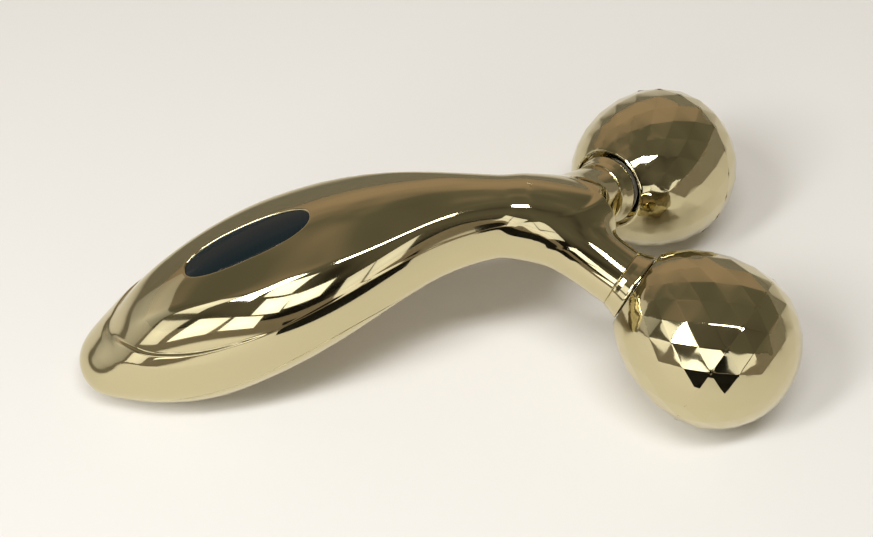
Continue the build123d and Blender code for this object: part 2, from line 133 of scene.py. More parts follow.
# Columns, and the crowding powers at start and end: bottom to lip, lip to shoulder, shoulder to middle line.
SKIN_RUNS = ((46, 1.0, 1.35), (34, 1.3, 1.3), (34, 1.35, 1.0))
# The same for the line on the middle plane between the arms: down to the wedge's upper edge, and round under it.
SADDLE_RUNS = ((34, 1.0, 1.5), (40, 1.5, 1.0))
COVER_COLUMNS = 40
RIM_NEAR, RIM_SEARCH = 0.15, 40  # how near a wall an arm's rim is found, and from how many columns before it
RIM_CROWDING = (0.4, 8)  # how much the columns crowd at that rim, and the rows over which that grows
EVEN_SWING = 0.6  # how far the columns of an arm are evened out round it
ARM_SQUARE = 1.15  # the arm's rows stand square to it this many times sooner than at its end
OPENING_COLUMNS = 24  # from the middle line to the side of the hole cut for the window
OPENING_MARGIN = 4.5  # from the window's ends to the rows that bound that hole
WELD = 2e-7  # metres between corners that become one


# ---- sizes and colours a user may change
def srgb(code):
    """Turns a six-digit sRGB hex colour into linear red, green and blue."""
    values = np.array([int(code[i:i + 2], 16) for i in (0, 2, 4)]) / 255
    return tuple(np.where(values <= 0.04045, values / 12.92, ((values + 0.055) / 1.055) ** 2.4))


def length_property(name, description, default_mm):
    return bpy.props.FloatProperty(name=name, description=description, default=default_mm * MM, min=0.0,
                                   unit="LENGTH", subtype="DISTANCE", precision=5)


def colour_property(name, description, code):
    return bpy.props.FloatVectorProperty(name=name, description=description, default=srgb(code), size=3,
                                         min=0.0, max=1.0, subtype="COLOR")


class ToningHandleSizes(bpy.types.PropertyGroup):
    """Sizes of the handle's fine forms."""
    shoulder: length_property("Shoulder round", "Softness of the edge between top face and sides", 2.4)
    fork_blend: length_property("Fork blend", "How widely neck and arms flow into each other", 6.0)
    lip: length_property("Cup lip", "How far the cup at the tail stands proud of the sides above it", 1.15)
    parting_gap: length_property("Parting gap", "Width of the line between body and belly cover", 0.12)
    parting_round: length_property("Parting round", "Radius of both edges beside that line", 0.22)
    window_bevel: length_property("Window bevel", "Width of the rounded edge round the solar window", 0.5)
    window_recess: length_property("Window recess", "Depth of the solar window under the top face", 0.35)


class ToningRollerSizes(bpy.types.PropertyGroup):
    """Sizes of the rollers' fine forms."""
    pillow: length_property("Facet crown", "How far the middle of each facet stands above its corners", 0.03)
    edge: length_property("Facet edge", "Width of the polished edge between two facets", 0.2)


class ToningColours(bpy.types.PropertyGroup):
    """Colours of the finishes and of the stage."""
    gold: colour_property("Plating", "Champagne gold plating of the shells", "CCC19A")
    window: colour_property("Window", "Dark solar window", "0C1A1F")
    floor: colour_property("Floor", "Table and backdrop", "ECEAE6")


# ---- curves and fields, whole arrays at a time
def smooth_curve(places, values):
    """Natural cubic spline: cubics between the places, with equal slope and bend where two of them meet."""
    places, values = np.asarray(places, float), np.asarray(values, float)
    steps = np.diff(places)
    n = len(places)
    matrix, right = np.eye(n), np.zeros(n)
    inner = np.arange(1, n - 1)
    for shift, share in ((-1, steps[:-1]), (0, 2 * (steps[:-1] + steps[1:])), (1, steps[1:])):
        matrix[inner, inner + shift] = share
    right[inner] = 6 * np.diff(np.diff(values) / steps)
    bend = np.linalg.solve(matrix, right)

    def evaluate(x):
        x = np.asarray(x, float)
        k = np.clip(np.searchsorted(places, x) - 1, 0, n - 2)
        h, a, b = steps[k], places[k + 1] - x, x - places[k]
        return (bend[k] * a ** 3 + bend[k + 1] * b ** 3) / (6 * h) \
            + (values[k] / h - bend[k] * h / 6) * a + (values[k + 1] / h - bend[k + 1] * h / 6) * b
    return evaluate


def ease(x):
    """Rises from 0 to 1 as 3x^2 - 2x^3 and stays flat outside."""
    x = np.clip(x, 0, 1)
    return x * x * (3 - 2 * x)


def ease_along(x, stretch):
    """The same rise over a stretch given as its start and its length."""
    return ease((x - stretch[0]) / stretch[1])


def unit(vectors):
    """Vectors divided by their lengths."""
    return vectors / np.linalg.norm(vectors, axis=-1, keepdims=True)


def join_fields(a, b, width):
    """Smooth union of two distance fields: their minimum, less width/6 times h^3 where they differ by less
    than the width and h is that shortfall as a share."""
    h = np.maximum(width - np.abs(a - b), 0) / width
    return np.minimum(a, b) - h ** 3 * width / 6


def cut_fields(a, b, width):
    """Smooth intersection: the smooth union of the two insides turned over."""
    return -join_fields(-a, -b, width)


def station_curves():
    """Splines through the stations. Widths and heights of a section go in squared, so that the ends round
    off like a ball."""
    x, half_width, underside, waist, top, fall, shoulder = STATIONS.T
    edge = top - fall * (shoulder / 10) ** 2
    crest = (edge - waist) / np.sqrt(1 - (shoulder / half_width) ** 2)
    ends = np.concatenate([[TAIL[0]], x, [CROTCH[0]]])
    sizes = {"side": half_width, "up": crest, "down": waist - underside}
    return {
        **{name: smooth_curve(ends, np.concatenate([[0], size ** 2, [0]])) for name, size in sizes.items()},
        "waist": smooth_curve(ends, np.concatenate([[TAIL[1]], waist, [CROTCH[1]]])),
        "top": smooth_curve(*np.stack([TOP_ENDS[0], *zip(x, top), TOP_ENDS[1]]).T),
        "fall": smooth_curve(x, fall),
        "shoulder": smooth_curve(x, shoulder),
        "lip": smooth_curve(*LIP.T),
        "parting": smooth_curve(*PARTING.T),
    }


CURVES = station_curves()


def section_sizes(x):
    """Half width, height above and depth below the widest line at each X, never less than a thread."""
    return [np.sqrt(np.maximum(CURVES[k](np.clip(x, TAIL[0], CROTCH[0])), THREAD ** 2))
            for k in ("side", "up", "down")]


def round_field(p):
    """Distance-like field of the handle as if its top were round: at each X the power sum of the sideways and
    upright shares, less 1, times the mean size of the section."""
    x, y, z = p[..., 0], p[..., 1], p[..., 2]
    side, up, down = section_sizes(x)
    lift = z - CURVES["waist"](np.clip(x, TAIL[0], CROTCH[0]))
    above = np.hypot(y / side, lift / up)
    below = (np.abs(y / side) ** LOWER_FULLNESS + np.abs(lift / down) ** LOWER_FULLNESS) ** (1 / LOWER_FULLNESS)
    size = np.sqrt(side * np.where(lift > 0, up, down))
    field = (np.where(lift > 0, above, below) - 1) * size
    past = np.maximum(np.maximum(x - CROTCH[0], TAIL[0] - x), 0)
    return np.where(past > 0, np.hypot(field, past), field)


def deck_height(x, y):
    """Height of the crowned top face: its middle line less a hyperbola across, softly bent along the middle
    and nearly straight towards the shoulders."""
    inner = np.clip(x, STATIONS[0, 0], STATIONS[-1, 0])
    half = CURVES["shoulder"](inner)
    drop = CURVES["fall"](inner) * (half / 10) ** 2
    bend = (np.sqrt(1 + (CROWN_BEND * y / half) ** 2) - 1) / (np.sqrt(1 + CROWN_BEND ** 2) - 1)
    return CURVES["top"](np.clip(x, TOP_ENDS[0][0], TOP_ENDS[1][0])) - drop * bend


def arm_line(t):
    """Centre line of the right arm, a cubic Bezier curve, with its first two derivatives."""
    t = np.asarray(t, float)[..., None]
    end = ROLLER_CENTRE + AXLE * COLLAR_BACK
    a, b, c, d = ARM_ROOT, ARM_ROOT + [ARM_LEADS[0], 0, 0], end - AXLE * ARM_LEADS[1], end
    s = 1 - t
    point = s ** 3 * a + 3 * s * s * t * b + 3 * s * t * t * c + t ** 3 * d
    slope = 3 * (s * s * (b - a) + 2 * s * t * (c - b) + t * t * (d - c))
    bend = 6 * (s * (c - 2 * b + a) + t * (d - 2 * c + b))
    return point, slope, bend


def arm_field(p):
    """Distance to the right arm's centre line less its radius. The nearest place is the best of a few samples,
    mended by Newton's method."""
    samples = np.linspace(0, 1, 24)
    marks = arm_line(samples)[0]
    distance = ((p[..., None, :] - marks) ** 2).sum(-1)
    t = samples[np.argmin(distance, axis=-1)]
    for _ in range(4):
        point, slope, bend = arm_line(t)
        gap = point - p
        t = np.clip(t - (gap * slope).sum(-1) / ((slope ** 2).sum(-1) + (gap * bend).sum(-1)), 0, 1)
    radius = ARM_RADII[0] + (ARM_RADII[1] - ARM_RADII[0]) * ease(t)
    return np.sqrt(((arm_line(t)[0] - p) ** 2).sum(-1)) - radius


def fork_wedge(x, y):
    """How deep a place lies in the wedge between the arms. Two upright walls open from a narrow fillet on the
    middle plane, and bend forwards beside the arms with the square of the way past a place."""
    beside = np.hypot(y, WEDGE_FILLET)
    start, flare = WEDGE_FLARE
    return (x - WEDGE_EDGE) * np.sin(WEDGE_TURN) - beside * np.cos(WEDGE_TURN) \
        - flare * np.maximum(beside - start, 0) ** 2


def handle_field(p):
    """Field of the whole handle. The blade is the round form, taken in by a share of the lip and cut by the top
    face. The cup is the round form swelled by the rest under the lip line, and slopes in to that line from a
    crease below it. Both join, and the arms join the neck. A wedge with upright walls opens the fork."""
    sizes = bpy.context.scene.toning_handle
    x, y, z = p[..., 0], p[..., 1], p[..., 2]
    lip = sizes.lip / MM * (1 - ease_along(x, LIP_FADE))
    body = round_field(p)
    rim = CURVES["lip"](np.clip(x, LIP[0, 0], LIP[-1, 0]))
    swell = (1 - LIP_INWARD) * lip * ease_along(z, SWELL_UP) * ease_along(x, SWELL_ALONG)
    slope = SLOPE_SHARE * lip * np.clip((z - rim + LIP_DROP) / LIP_DROP, 0, 1) * ease_along(x, SLOPE_ALONG)
    least, growth = SHOULDER_GROWTH
    shoulder = sizes.shoulder / MM * (least + growth * ease_along(x, SHOULDER_SOFTENING))
    blade = cut_fields(body + LIP_INWARD * lip, z - deck_height(x, y), shoulder)
    cup = cut_fields(body - swell + slope, z - rim, LIP_ROUND)
    whole = join_fields(blade, cup, CREASE_ROUND)
    near_fork = x > -20  # further back the arms reach nothing
    if near_fork.any():
        near = p[near_fork]
        width = sizes.fork_blend / MM * np.maximum(ease_along(near[:, 0], FORK_WIDENING), 0.1)
        arms = join_fields(arm_field(near), arm_field(near * [1, -1, 1]), width)
        joined = join_fields(whole[near_fork], arms, width)
        whole[near_fork] = cut_fields(joined, fork_wedge(near[:, 0], near[:, 1]), WEDGE_ROUND)
    return whole


def reach(origin, direction, field, far=45.0, rounds=30):
    """Walks from each origin along its direction to where the field is 0, by halving."""
    low = np.zeros(np.broadcast(origin[..., 0], direction[..., 0]).shape)
    high = np.full_like(low, far)
    for _ in range(rounds):
        middle = (low + high) / 2
        inside = field(origin + middle[..., None] * direction) < 0
        low = np.where(inside, middle, low)
        high = np.where(inside, high, middle)
    return origin + low[..., None] * direction


# ---- grids to meshes
def grid(points, turned=False):
    """Quads between the rows and columns of a grid of points, as (points, faces)."""
    rows, cols = points.shape[:2]
    index = np.arange(rows * cols).reshape(rows, cols)
    faces = np.stack([index[:-1, :-1], index[:-1, 1:], index[1:, 1:], index[1:, :-1]], axis=-1).reshape(-1, 4)
    return points.reshape(-1, 3), faces[:, ::-1] if turned else faces


def in_triangles(part):
    """The same part with each quad cut in two."""
    points, quads = part
    return points, np.concatenate([quads[:, [0, 1, 2]], quads[:, [0, 2, 3]]])


def mirrored(part):
    """The part on the other side of the middle plane, with its faces turned so that they still look out."""
    points, faces = part
    return points * [1, -1, 1], faces[:, ::-1]


def on_both_sides(*parts):
    """Each part followed by its mirror image."""
    return [side for part in parts for side in (part, mirrored(part))]


def together(parts):
    """Several (points, faces) as one."""
    starts = np.cumsum([0] + [len(points) for points, _ in parts[:-1]])
    return np.concatenate([points for points, _ in parts]), \
        np.concatenate([faces + start for (_, faces), start in zip(parts, starts)])


def new_object(name, points, faces, material):
    """An object in the scene, from points in metres and faces."""
    mesh = bpy.data.meshes.new(name)
    mesh.from_pydata(np.asarray(points).tolist(), [], np.asarray(faces).tolist())
    mesh.materials.append(material)
    piece = bpy.data.objects.new(name, mesh)
    bpy.context.scene.collection.objects.link(piece)
    return piece


def new_piece(name, part, body, material):
    """A smooth piece from points in millimetres and faces, with its seams welded, riding on a body."""
    points, faces = part
    piece = new_object(name, points * MM, faces, material)
    piece.data.validate()
    work = bmesh.new()
    work.from_mesh(piece.data)
    bmesh.ops.remove_doubles(work, verts=work.verts, dist=WELD)
    bmesh.ops.dissolve_degenerate(work, edges=work.edges, dist=WELD / 20)
    work.to_mesh(piece.data)
    work.free()
    piece.data.shade_smooth()
    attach(piece, body)
    return piece


def turned_ring(profile, columns=120):
    """A closed outline of (radius, place along the axle) points carried once round the right axle."""
    profile = np.asarray(profile, float)
    profile = np.concatenate([profile, profile[:1]])
    radial = round_axle(np.linspace(0, 2 * np.pi, columns + 1))
    return grid(ROLLER_CENTRE + profile[:, 1, None, None] * AXLE + profile[:, 0, None, None] * radial)


def axle_sides():
    """Two directions at right angles to the right axle and to each other."""
    across = unit(np.array([AXLE[2], 0, -AXLE[0]]))
    return across, np.cross(AXLE, across)


def round_axle(angle):
    """Directions square to the right axle: cosine of the angle times one side plus its sine times the other."""
    across, over = axle_sides()
    return np.cos(angle)[..., None] * across + np.sin(angle)[..., None] * over


def rounded(outline, radius, steps=5):
    """A closed outline with each corner replaced by a quadratic Bezier curve that starts up to the radius away."""
    outline = np.asarray(outline, float)
    before = np.roll(outline, 1, axis=0) - outline
    after = np.roll(outline, -1, axis=0) - outline
    size = [np.linalg.norm(v, axis=1, keepdims=True) for v in (before, after)]
    start = outline + before / size[0] * np.minimum(radius, 0.45 * size[0])
    end = outline + after / size[1] * np.minimum(radius, 0.45 * size[1])
    t = np.linspace(0, 1, steps)[None, :, None]
    curve = (1 - t) ** 2 * start[:, None] + 2 * t * (1 - t) * outline[:, None] + t * t * end[:, None]
    return curve.reshape(-1, 2)


# ---- the handle's grids
def spread(count, start, end):
    """Count + 1 shares from 0 to 1, closer together at the start or the end by the powers given."""
    t = np.linspace(0, 1, count + 1)
    rising = t ** start
    falling = (1 - t) ** end
    return rising / (rising + falling)


def parting_ends():
    """The two places along X between which the parting line runs above the handle's underside."""
    x = np.linspace(TAIL[0], PARTING[-1, 0], 8000)
    above = CURVES["parting"](x) > CURVES["waist"](x) - section_sizes(x)[2]
    change = np.nonzero(np.diff(above.astype(int)))[0]
    return x[change[0] + 1], x[change[-1]]


def skin_rows():
    """Places of the grid's rows along X: closer at the tail and at both ends of the parting line."""
    first, last = parting_ends()
    tail = TAIL[0] + (first - TAIL[0]) * np.linspace(0, 1, TAIL_ROWS + 1)[:-1] ** 2
    middle = first + (last - first) * (1 - np.cos(np.pi * np.linspace(0, 1, MIDDLE_ROWS))) / 2
    front = np.linspace(last, FORK_X, NECK_ROWS + 1)[1:]
    return np.concatenate([tail, middle, front]), len(tail), len(tail) + len(middle)


def edge_angle(x, height):
    """Angle about the spine of the round form's skin at a height."""
    side, up, down = section_sizes(x)
    lift = height - CURVES["waist"](x)
    above = np.sqrt(np.maximum(1 - (lift / up) ** 2, 0))
    below = np.maximum(1 - np.abs(lift / down) ** LOWER_FULLNESS, 0) ** (1 / LOWER_FULLNESS)
    return np.arctan2(lift, side * np.where(lift > 0, above, below))


def skin_angles(x, first, last):
    """Angles of the grid's columns, from the bottom or the parting line past the lip and the shoulder to the
    top, on the right side. Columns crowd at the lip and at the shoulder."""
    part = np.full_like(x, -np.pi / 2)
    row = slice(first, last)
    part[row] = edge_angle(x[row], CURVES["parting"](x[row]))
    part[[first, last - 1]] = -np.pi / 2
    lip = edge_angle(x, CURVES["lip"](x))
    half = CURVES["shoulder"](np.clip(x, STATIONS[0, 0], STATIONS[-1, 0]))
    shoulder = np.arctan2(deck_height(x, half) - CURVES["waist"](x), half)
    lip = np.clip(lip, part + 0.05, shoulder - 0.03)  # keeps the columns in order
    marks = [part, lip, shoulder, np.full_like(x, np.pi / 2)]
    runs = [low[:, None] + (high - low)[:, None] * spread(*run)
            for low, high, run in zip(marks, marks[1:], SKIN_RUNS)]
    return np.concatenate([runs[0], runs[1][:, 1:], runs[2][:, 1:]], axis=1), part


def spine_rays(x, angle):
    """Ray origins on the spine and directions across it, to the right for angles of 0."""
    origin = np.stack([x, np.zeros_like(x), CURVES["waist"](x)], axis=-1)[:, None, :]
    direction = np.stack([np.zeros_like(angle), -np.cos(angle), np.sin(angle)], axis=-1)
    return origin, direction


def parting_lip(edge, inner, radius, depth=1.2):
    """A rounded edge beside the parting line: from the skin's edge a quarter circle turns inwards and a straight
    wall follows. The next column of the skin gives the direction along it, and the radius is given row by row."""
    radius = radius[:, None]
    towards = unit(edge - inner)
    inward = unit(np.cross(np.gradient(edge, axis=0), towards))
    spine = np.stack([edge[:, 0], np.zeros(len(edge)), CURVES["waist"](edge[:, 0])], axis=-1)
    inward = inward * np.sign(((spine - edge) * inward).sum(-1, keepdims=True))
    turn = np.linspace(0, np.pi / 2, 6)[:, None, None]
    arc = edge + radius * (np.sin(turn) * towards + (1 - np.cos(turn)) * inward)
    return np.concatenate([arc, (edge + radius * towards + depth * inward)[None]])


def body_skin():
    """The body's upper skin on one side, the cover's skin on the same side, and the lips of both."""
    sizes = bpy.context.scene.toning_handle
    x, first, last = skin_rows()
    angle, part = skin_angles(x, first, last)
    row = slice(first, last)
    room = part[row] + np.pi / 2
    back_off = (sizes.parting_gap / 2 + sizes.parting_round) / MM / section_sizes(x[row])[0]
    share = spread(COVER_COLUMNS, 1.0, 1.0)
    lower = -np.pi / 2 + (room - np.minimum(back_off, 0.6 * room))[:, None] * share
    # The first columns of the body give way to the line, the nearest the most.
    angle[row, :12] += (back_off * ease(room / 0.1))[:, None] * np.linspace(1, 0, 12)
    skin = reach(*spine_rays(x, angle), handle_field)
    cover = reach(*spine_rays(x[row], lower), handle_field)
    radii = sizes.parting_round / MM * ease(room[1:-1] / 0.15)
    lips = [parting_lip(skin[first + 1:last - 1, 0], skin[first + 1:last - 1, 1], radii),
            parting_lip(cover[1:-1, -1], cover[1:-1, -2], radii)]
    return skin, cover, lips


def right_half(p):
    """Field of the handle's half on the right of the middle plane."""
    return np.maximum(handle_field(p), p[..., 1])


def along_rim(direction, rows, rim):
    """Moves each row's directions between its columns, so that the column that starts at the wedge's upper edge
    follows that rim along the arm, with its neighbours crowded round it. The rim lies where the surface first
    comes near a wall."""
    near = fork_wedge(rows[..., 0], rows[..., 1]) + RIM_NEAR
    columns = np.arange(rows.shape[1])
    hit = (near[:, :-1] < 0) & (near[:, 1:] >= 0) & (columns[:-1] > rim - RIM_SEARCH)
    first = np.argmax(hit, axis=1)
    row = np.arange(len(rows))
    low, high = near[row, first], near[row, first + 1]
    found = hit.any(axis=1)
    place = np.interp(row, row[found], (first + low / (low - high))[found])[:, None]
    last = columns[-1]
    crowd = 1 + RIM_CROWDING[0] * ease(row / RIM_CROWDING[1])[:, None]
    before, after = np.clip(1 - columns / rim, 0, 1), np.clip((columns - rim) / (last - rim), 0, 1)
    moved = np.where(columns <= rim, place * (1 - before ** crowd), place + (last - place) * after ** crowd)
    left = np.minimum(moved.astype(int), last - 1)
    share = (moved - left)[..., None]
    return unit(direction[row[:, None], left] * (1 - share) + direction[row[:, None], left + 1] * share)


def fork_skin(half_ring):
    """The right arm's skin. Its first row is the right half of the neck's last ring and the line that the
    crotch draws on the middle plane. Each later row is reached from the arm's centre line, along directions
    that turn from those of the first row to square across."""
    origin = np.array([FORK_X, 0, float(CURVES["waist"](FORK_X))])
    edge = np.arctan2(float(deck_height(WEDGE_EDGE, 0)) - origin[2], WEDGE_EDGE - FORK_X)
    turn = np.concatenate([np.pi / 2 + (edge - np.pi / 2) * spread(*SADDLE_RUNS[0])[1:],
                           edge - (edge + np.pi / 2) * spread(*SADDLE_RUNS[1])[1:]])
    saddle = reach(origin[None], np.stack([np.cos(turn), np.zeros_like(turn), np.sin(turn)], axis=-1), handle_field)
    ring = np.concatenate([half_ring, saddle])
    way = np.linspace(0, 1, ARM_ROWS + 1)[1:]
    centre = arm_line(ARM_START + (1 - ARM_START) * way)[0]
    first = unit(ring - arm_line(ARM_START)[0])
    across, over = axle_sides()
    swing = np.unwrap(np.arctan2(first @ over, first @ across))
    even = np.linspace(swing[0], swing[0] + 2 * np.pi * np.sign(swing[-1] - swing[0]), len(swing))
    last = round_axle((1 - EVEN_SWING) * swing + EVEN_SWING * even)
    share = ease(way * ARM_SQUARE)[:, None, None]
    direction = unit((1 - share) * first + share * last)
    rows = reach(centre[:, None, :], direction, right_half, far=25.0)
    direction = along_rim(direction, rows, len(half_ring) + SADDLE_RUNS[0][0] - 1)
    rows = reach(centre[:, None, :], direction, right_half, far=25.0)
    stop = centre[-1] + direction[-1] * ARM_STOP_RADIUS
    return np.concatenate([ring[None], rows, stop[None]])


def window_frame():
    """Middle, long direction and outward direction of the solar window's plane, and half its length."""
    ends = np.array([[x, 0, float(deck_height(np.array(x), 0))] for x in WINDOW_ENDS])
    long_way = unit(ends[1] - ends[0])
    outward = np.array([-long_way[2], 0, long_way[0]])
    return ends.mean(axis=0), long_way, outward, np.linalg.norm(ends[1] - ends[0]) / 2


def window_oval(angle, grow):
    """Points of the window's outline, a superellipse grown all round, in its own plane."""
    half = window_frame()[3]
    c, s = np.cos(angle), np.sin(angle)
    return np.stack([np.sign(c) * np.abs(c) ** (2 / WINDOW_FULLNESS) * (half + grow),
                     np.sign(s) * np.abs(s) ** (2 / WINDOW_FULLNESS) * (WINDOW_WIDTH / 2 + grow)], axis=-1)


def on_top_face(flat, depth=0.0):
    """Points over the window's plane, put on the handle's skin along the plane's outward direction and then
    sunk by the depth."""
    middle, long_way, outward, _ = window_frame()
    base = middle + flat[..., :1] * long_way + flat[..., 1:] * np.array([0, 1, 0]) - 8 * outward
    return reach(base, np.broadcast_to(outward, base.shape), handle_field, far=20.0) - depth * outward


def window_surround(loop, bevel):
    """Skin between a loop of grid points and the window: rings blend from the loop to the oval, then a quarter
    round and a wall lead down into the opening."""
    middle, long_way, _, half = window_frame()
    flat = np.stack([(loop - middle) @ long_way, loop[:, 1]], axis=-1)
    angle = np.arctan2(flat[:, 1] / (WINDOW_WIDTH / 2), flat[:, 0] / half)
    outer = window_oval(angle, bevel)
    share = np.linspace(0, 1, 15)[:, None, None] ** 0.8
    rings = on_top_face(flat * (1 - share) + outer * share)
    rings[0] = loop
    turn = np.linspace(0, np.pi / 2, 7)[1:]
    quarter = np.stack([on_top_face(window_oval(angle, bevel * (1 - np.sin(a))), bevel * (1 - np.cos(a)))
                        for a in turn])
    wall = on_top_face(window_oval(angle, 0.0), WINDOW_WALL)
    return np.concatenate([rings, quarter, wall[None]])


# ---- operators that make the pieces
class TONING_OT_body(bpy.types.Operator):
    """Make the body shell and the belly cover from one smooth field"""
    bl_idname = "toning.body"
    bl_label = "Body and cover"

    def execute(self, context):
        sizes = context.scene.toning_handle
        right, cover, lips = body_skin()
        whole = np.concatenate([right, (right * [1, -1, 1])[:, -2::-1]], axis=1)
        x = whole[:, 0, 0]
        rows = np.nonzero((x > WINDOW_ENDS[0] - OPENING_MARGIN) & (x < WINDOW_ENDS[1] + OPENING_MARGIN))[0]
        top, low, high = right.shape[1] - 1, rows[0], rows[-1]
        left, rest = top - OPENING_COLUMNS, top + OPENING_COLUMNS
        loop = np.concatenate([whole[low, left:rest], whole[low:high, rest], whole[high, rest:left:-1],
                               whole[high:low:-1, left], whole[low:low + 1, left]])
        surround = window_surround(loop, sizes.window_bevel / MM)
        points, faces = grid(whole, turned=True)
        row, column = np.divmod(np.arange(len(faces)), whole.shape[1] - 1)
        opening = (row >= low) & (row < high) & (column >= left) & (column < rest)
        parts = [(points, faces[~opening]), grid(surround, turned=True)]
        parts += on_both_sides(grid(fork_skin(right[-1]), turned=True), grid(lips[0], turned=True))
        gold = plating("handle", 1.0)
        piece = new_piece("handle_body", together(parts), "handle", gold)
        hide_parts("body_shell")
        parts = on_both_sides(grid(cover, turned=True), grid(lips[1]))
        piece = new_piece("handle_belly", together(parts), "handle", gold)
        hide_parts("belly_cover")
        return {"FINISHED"}


class TONING_OT_window(bpy.types.Operator):
    """Make the dark solar window, crowned like the face around it"""
    bl_idname = "toning.window"
    bl_label = "Solar window"

    def execute(self, context):
        sizes = context.scene.toning_handle
        recess = sizes.window_recess / MM
        angle = np.linspace(0, 2 * np.pi, 161)
        inside = [window_oval(angle, 0) * s for s in np.linspace(0, 0.985, 16)]
        edge = [(-0.09, 0.0), (-0.05, 0.01), (-0.02, 0.04), (-0.01, 0.1), (-0.01, WINDOW_THICKNESS)]
        flat = inside + [window_oval(angle, grow) for grow, _ in edge] \
            + [window_oval(angle, -0.01) * s for s in (0.6, 0.0)]
        depth = [0] * len(inside) + [d for _, d in edge] + [WINDOW_THICKNESS] * 2
        points = np.stack([on_top_face(f, recess + d) for f, d in zip(flat, depth)])
        piece = new_piece("dark_window", grid(points, turned=True), "handle", window_glass())
        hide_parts("solar_window")
        return {"FINISHED"}


class TONING_OT_collars(bpy.types.Operator):
    """Make the flared ring at the end of each arm"""
    bl_idname = "toning.collars"
    bl_label = "Arm collars"

    def execute(self, context):
        gold = plating("collars", 0.6)
        outline = [(5.3, COLLAR_BACK), (7.25, COLLAR_BACK), (7.4, COLLAR_BACK + 0.5), (7.65, COLLAR_BACK + 1.6),
                   (8.35, COLLAR_FRONT - 0.6), (8.35, COLLAR_FRONT), (6.9, COLLAR_FRONT),
                   (4.05, COLLAR_FRONT), (4.05, COLLAR_BACK + 1.5), (5.3, COLLAR_BACK + 1.5)]
        for side, ring in zip(("right", "left"), on_both_sides(turned_ring(rounded(outline, 0.25)))):
            piece = new_piece(f"{side}_collar", ring, "handle", gold)
            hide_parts(f"{side}_arm_collar")
        return {"FINISHED"}


def roller_rings():
    """Places along the axle of the rings of facet corners. The rows are equal steps of the surface length
    divided by the radius, so that every facet has the same proportion."""
    flat = ROLLER_NOSE * np.sqrt(1 - (NOSE_FLAT_RADIUS / ROLLER_RADIUS) ** 2)
    along = -ROLLER_BACK + (flat + ROLLER_BACK) * np.sin(np.pi / 2 * np.linspace(0, 1, 2001))
    radius = roller_radius(along)
    step = np.hypot(np.diff(along), np.diff(radius)) / (0.5 * (radius[1:] + radius[:-1]))
    length = np.concatenate([[0], np.cumsum(step)])
    return np.interp(np.linspace(0, length[-1], FACET_ROWS + 1), length, along)


def roller_radius(along):
    """Two half ellipses: a short one towards the nose and a longer one towards the rim."""
    half = np.where(along > 0, ROLLER_NOSE, ROLLER_TAPER)
    return ROLLER_RADIUS * np.sqrt(np.maximum(1 - (along / half) ** 2, 0))


def ring_corners(k):
    """The facet corners of one or several rings, with every other ring staggered by half a facet. The first
    corner comes again at the end."""
    k = np.asarray(k)[..., None]
    angle = 2 * np.pi * (np.arange(FACETS_ROUND + 1) + 0.5 * (k % 2)) / FACETS_ROUND
    place = roller_rings()[k]
    return ROLLER_CENTRE + place[..., None] * AXLE + roller_radius(place)[..., None] * round_axle(angle)


def facet_corners(low, high):
    """Three corners of every facet between two rings. The rings are staggered, so each two of them make one row
    of facets that point forward and one that point back."""
    k = np.arange(low, high)
    near, far = ring_corners(k), ring_corners(k + 1)
    forward = np.where((k % 2 == 0)[:, None, None], far[:, :-1], far[:, 1:])
    backward = np.where((k % 2 == 0)[:, None, None], near[:, 1:], near[:, :-1])
    facets = np.concatenate([np.stack([near[:, :-1], near[:, 1:], forward], axis=-2),
                             np.stack([backward, far[:, 1:], far[:, :-1]], axis=-2)])
    return facets.reshape(-1, 3, 3)


def crowned_facets(corners, pillow):
    """Each facet cut into small triangles and raised along its normal by the pillow height times 27abc, where
    a, b and c are the shares of its corners."""
    i, j = np.meshgrid(np.arange(FACET_PARTS + 1), np.arange(FACET_PARTS + 1), indexing="ij")
    keep = i + j <= FACET_PARTS
    index = np.full(keep.shape, -1)
    index[keep] = np.arange(keep.sum())
    b, c = i[keep] / FACET_PARTS, j[keep] / FACET_PARTS
    a = 1 - b - c
    normal = unit(np.cross(corners[:, 1] - corners[:, 0], corners[:, 2] - corners[:, 0]))
    points = a[:, None] * corners[:, None, 0] + b[:, None] * corners[:, None, 1] + c[:, None] * corners[:, None, 2]
    points = points + (27 * a * b * c * pillow)[None, :, None] * normal[:, None, :]
    up = np.stack([index[:-1, :-1], index[1:, :-1], index[:-1, 1:]], axis=-1)[keep[1:, :-1] & keep[:-1, 1:]]
    down = np.stack([index[1:, :-1], index[1:, 1:], index[:-1, 1:]], axis=-1)[keep[1:, 1:]]
    small = np.concatenate([up, down])
    starts = np.arange(len(corners))[:, None, None] * len(b)
    return points.reshape(-1, 3), (small[None] + starts).reshape(-1, 3)


def ring_cap(k, rows):
    """Rings that close a shell at ring k: first the polygon of facet corners, each side in equal parts, then
    circles given by radius and place along the axle from that ring."""
    corners = ring_corners(k)
    share = np.arange(FACET_PARTS)[None, :, None] / FACET_PARTS
    edge = (corners[:-1, None] * (1 - share) + corners[1:, None] * share).reshape(-1, 3)
    edge = np.concatenate([edge, edge[:1]])
    middle = ROLLER_CENTRE + roller_rings()[k] * AXLE
    circles = [middle + along * AXLE + radius * unit(edge - middle) for radius, along in rows]
    return in_triangles(grid(np.stack([edge, *circles])))


def seam_band(depth=0.15, half_width=0.5):
    """A narrow band just under the joint of both shells, so that no gap opens between them."""
    ring = ring_corners(SEAM_ROW)
    middle = ROLLER_CENTRE + roller_rings()[SEAM_ROW] * AXLE
    ring = ring - depth * unit(ring - middle)
    return in_triangles(grid(np.stack([ring - half_width * AXLE, ring + half_width * AXLE])))


